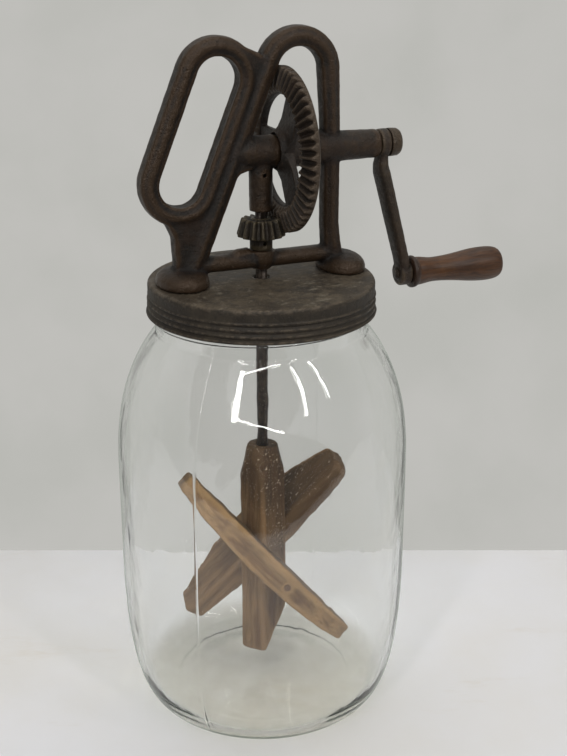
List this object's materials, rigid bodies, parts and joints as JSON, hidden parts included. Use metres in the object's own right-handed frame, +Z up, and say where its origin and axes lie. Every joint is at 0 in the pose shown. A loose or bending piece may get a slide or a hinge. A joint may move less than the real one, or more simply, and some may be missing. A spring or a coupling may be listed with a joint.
{
  "type": "hand cranked butter churn",
  "caption": "Glass jar churn: a tin screw lid carries a cast iron frame whose side crank turns a bevel gear and a wooden dasher inside the jar.",
  "frame": {"origin": "centre of the jar's flat base, on the table", "axes": "+Z up along the dasher shaft, +X along the crank shaft towards the crank, +Y away from the picture's viewer"},
  "size_m": [0.2274, 0.16, 0.3755],
  "materials": {
    "glass": "clear, faintly green",
    "tin": "dull tarnished tinplate",
    "iron": "old brown casting, rubbed on its ridges",
    "steel": "dark worn steel",
    "dasher_wood": "bare weathered wood",
    "grip_wood": "worn red brown wood"
  },
  "bodies": {
    "jar": {"glass_jar": "glass"},
    "head": {"tin_lid": "tin", "cast_frame": "iron", "foot_screw_1": "steel", "foot_screw_2": "steel", "foot_screw_3": "steel", "foot_screw_4": "steel", "foot_washer_1": "steel", "foot_washer_2": "steel", "foot_washer_3": "steel", "foot_washer_4": "steel"},
    "crank": {"crank_shaft": "steel", "drive_gear": "iron", "gear_pin": "steel", "gear_spacer": "steel", "crank_arm": "iron", "nut_washer": "steel", "crank_nut": "steel", "grip_pin": "steel"},
    "grip": {"wooden_grip": "grip_wood"},
    "dasher": {"dasher_shaft": "steel", "pinion": "iron", "pinion_pin": "steel", "dasher_post": "dasher_wood", "post_pin": "steel", "front_blade": "dasher_wood", "rear_blade": "dasher_wood", "front_nail": "steel", "rear_nail": "steel"}
  },
  "joints": [
    {"name": "lid_lift", "type": "slide", "parent": "jar", "child": "head", "axis": [0, 0, 1], "range_m": [0, 0.25]},
    {"name": "crank_turn", "type": "hinge", "parent": "head", "child": "crank", "pos_m": [0, 0, 0.31354], "axis": [1, 0, 0], "continuous": true},
    {"name": "grip_spin", "type": "hinge", "parent": "crank", "child": "grip", "pos_m": [0.1166, 0, 0.24034], "axis": [1, 0, 0], "continuous": true},
    {"name": "dasher_turn", "type": "hinge", "parent": "head", "child": "dasher", "pos_m": [0, 0, 0.266], "axis": [0, 0, 1], "continuous": true}
  ],
  "couplings": [
    {"joint": "dasher_turn", "follows": "crank_turn", "ratio": 3.7143}
  ]
}
